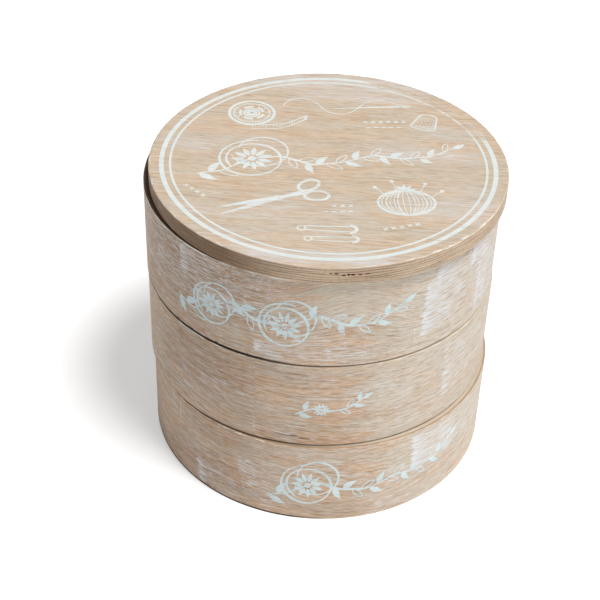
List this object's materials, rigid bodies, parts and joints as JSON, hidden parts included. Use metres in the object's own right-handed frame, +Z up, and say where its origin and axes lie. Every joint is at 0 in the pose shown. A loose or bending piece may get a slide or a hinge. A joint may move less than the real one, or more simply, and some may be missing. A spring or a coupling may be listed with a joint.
{
  "type": "sewing box",
  "caption": "Round wooden sewing box of stacked swivelling trays with a thick flat swivelling lid, whitewashed outside, all turning on one hidden rod near the rim.",
  "frame": {"origin": "centre of the base tray's underside, where the box rests", "axes": "+Z up; the decorated front faces -Y; the rod about which the trays and the lid swivel stands at the back right, at 45 degrees between +X and +Y"},
  "size_m": [0.2026, 0.2027, 0.1795],
  "materials": {
    "whitewashed_veneer": "dry-brushed whitewash over pale brown veneer, matt",
    "lid_ply": "whitewashed face with bare layered edge, matt",
    "hoop_ply": "bare bent plywood, matt",
    "floor_ply": "bare plywood, matt",
    "block_wood": "bare softwood, matt",
    "sleeve_brass": "drawn tube",
    "insert_brass": "machined",
    "rod_steel": "bright zinc",
    "nut_steel": "bright zinc",
    "washer_steel": "bright zinc",
    "brad_steel": "bright wire",
    "spacer_nylon": "natural nylon",
    "ring_nylon": "natural nylon"
  },
  "bodies": {
    "base_tray": {"base_outer_hoop": "whitewashed_veneer", "base_ply_hoop": "hoop_ply", "base_floor": "floor_ply", "base_pivot_block": "block_wood", "base_pivot_sleeve": "sleeve_brass", "base_spacer": "spacer_nylon", "base_brads": "brad_steel"},
    "middle_tray": {"middle_outer_hoop": "whitewashed_veneer", "middle_ply_hoop": "hoop_ply", "middle_floor": "floor_ply", "middle_pivot_block": "block_wood", "middle_pivot_sleeve": "sleeve_brass", "middle_spacer": "spacer_nylon", "middle_brads": "brad_steel"},
    "top_tray": {"top_outer_hoop": "whitewashed_veneer", "top_ply_hoop": "hoop_ply", "top_floor": "floor_ply", "top_pivot_block": "block_wood", "top_pivot_sleeve": "sleeve_brass", "top_spacer": "spacer_nylon", "top_brads": "brad_steel"},
    "lid": {"lid_panel": "lid_ply", "lid_insert": "insert_brass", "pivot_rod": "rod_steel", "seat_washer": "washer_steel", "lock_nut": "nut_steel", "lock_nut_ring": "ring_nylon"}
  },
  "joints": [
    {"name": "middle_swivel", "type": "hinge", "parent": "base_tray", "child": "middle_tray", "pos_m": [0.0594, 0.0594, 0], "axis": [0, 0, 1], "continuous": true},
    {"name": "top_swivel", "type": "hinge", "parent": "base_tray", "child": "top_tray", "pos_m": [0.0594, 0.0594, 0], "axis": [0, 0, 1], "continuous": true},
    {"name": "lid_swivel", "type": "hinge", "parent": "base_tray", "child": "lid", "pos_m": [0.0594, 0.0594, 0], "axis": [0, 0, 1], "continuous": true}
  ]
}
